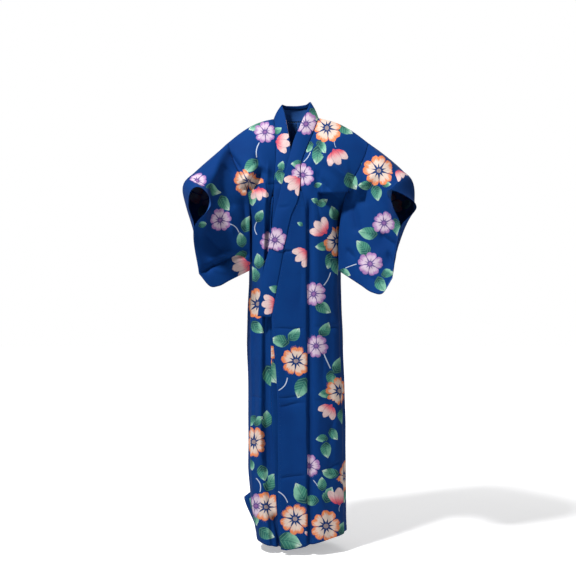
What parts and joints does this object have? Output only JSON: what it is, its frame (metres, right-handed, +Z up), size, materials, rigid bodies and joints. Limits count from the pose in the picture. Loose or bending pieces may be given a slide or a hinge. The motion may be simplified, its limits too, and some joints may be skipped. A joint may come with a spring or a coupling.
{
  "type": "cotton yukata robe",
  "caption": "Unlined cotton summer kimono, worn long and open without a belt, left front lapped over right, with square hanging sleeves and a straight collar band",
  "frame": {"origin": "midway between the two points where the wearer's shoulders meet the neck, on which the robe hangs", "axes": "+Z up, the wearer's front faces -Y, the wearer's left is +X"},
  "size_m": [0.841, 0.4345, 1.6473],
  "materials": {
    "body_right_cotton": "matt printed plain-weave cotton",
    "body_left_cotton": "matt printed plain-weave cotton",
    "overlap_right_cotton": "matt printed plain-weave cotton",
    "overlap_left_cotton": "matt printed plain-weave cotton",
    "collar_cotton": "matt printed plain-weave cotton",
    "over_collar_cotton": "matt printed plain-weave cotton",
    "sleeve_right_cotton": "matt printed plain-weave cotton",
    "sleeve_left_cotton": "matt printed plain-weave cotton"
  },
  "bodies": {
    "root": {"body_right": "body_right_cotton", "body_left": "body_left_cotton", "overlap_right": "overlap_right_cotton", "overlap_left": "overlap_left_cotton", "collar": "collar_cotton", "over_collar": "over_collar_cotton", "sleeve_right": "sleeve_right_cotton", "sleeve_left": "sleeve_left_cotton"}
  },
  "joints": []
}
